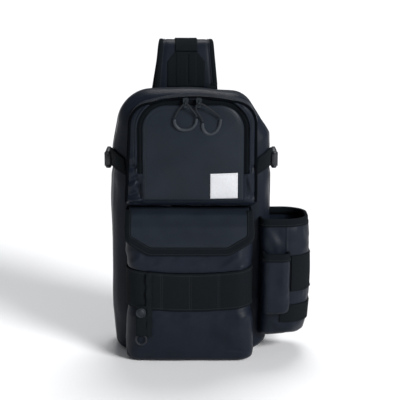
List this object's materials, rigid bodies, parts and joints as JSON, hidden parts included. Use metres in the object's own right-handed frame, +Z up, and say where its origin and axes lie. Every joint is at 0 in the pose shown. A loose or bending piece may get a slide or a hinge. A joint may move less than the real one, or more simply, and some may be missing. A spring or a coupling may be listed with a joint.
{
  "type": "fishing tackle sling bag",
  "caption": "Upright one-strap sling bag with an arched front zip compartment, a flapped lower pocket, load webbing and a round side pocket for a bottle.",
  "frame": {"origin": "middle of the flat base of the main compartment, where the bag stands", "axes": "+Z up along the bag, -Y out of its front, +X towards the side with the bottle pocket"},
  "size_m": [0.2816, 0.2164, 0.4232],
  "materials": {
    "coated_fabric": "dark navy coated nylon with a soft sheen and a fine grain",
    "smooth_fabric": "smooth dark navy coated fabric, a little lighter and shinier",
    "padded_mesh": "black spacer mesh over foam",
    "webbing": "black woven nylon webbing",
    "binding": "black woven binding tape",
    "zip_tape": "black zip tape with coil teeth",
    "buckle_plastic": "satin black moulded acetal",
    "slider_metal": "black painted zinc slider",
    "pull_cord": "black braided cord",
    "pull_grip": "dark grey moulded grip",
    "snap_metal": "grey satin snap cap",
    "label_white": "bare white woven label"
  },
  "bodies": {
    "root": {"main_body": "coated_fabric", "front_pocket": "coated_fabric", "lower_pocket": "coated_fabric", "bottle_pocket": "coated_fabric", "tool_pocket": "coated_fabric", "shoulder_strap": "coated_fabric", "front_face": "smooth_fabric", "flap": "smooth_fabric", "back_panel": "padded_mesh", "gear_webbing": "webbing", "gear_strap": "webbing", "gear_tab": "webbing", "bottle_band_wide": "webbing", "bottle_band_narrow": "webbing", "side_strap_left": "webbing", "side_strap_right": "webbing", "strap_patch": "webbing", "strap_webbing": "webbing", "strap_tail": "webbing", "flap_binding": "binding", "bottle_binding": "binding", "tool_binding": "binding", "front_zip": "zip_tape", "main_zip": "zip_tape", "side_buckle_left": "buckle_plastic", "side_buckle_right": "buckle_plastic", "strap_buckle": "buckle_plastic", "gear_ring": "buckle_plastic", "main_zip_slider": "slider_metal", "zip_slider_left": "slider_metal", "zip_slider_right": "slider_metal", "pull_cord_left": "pull_cord", "pull_cord_right": "pull_cord", "pull_grip_left": "pull_grip", "pull_grip_right": "pull_grip", "snap_cap": "snap_metal", "label_patch": "label_white"}
  },
  "joints": []
}
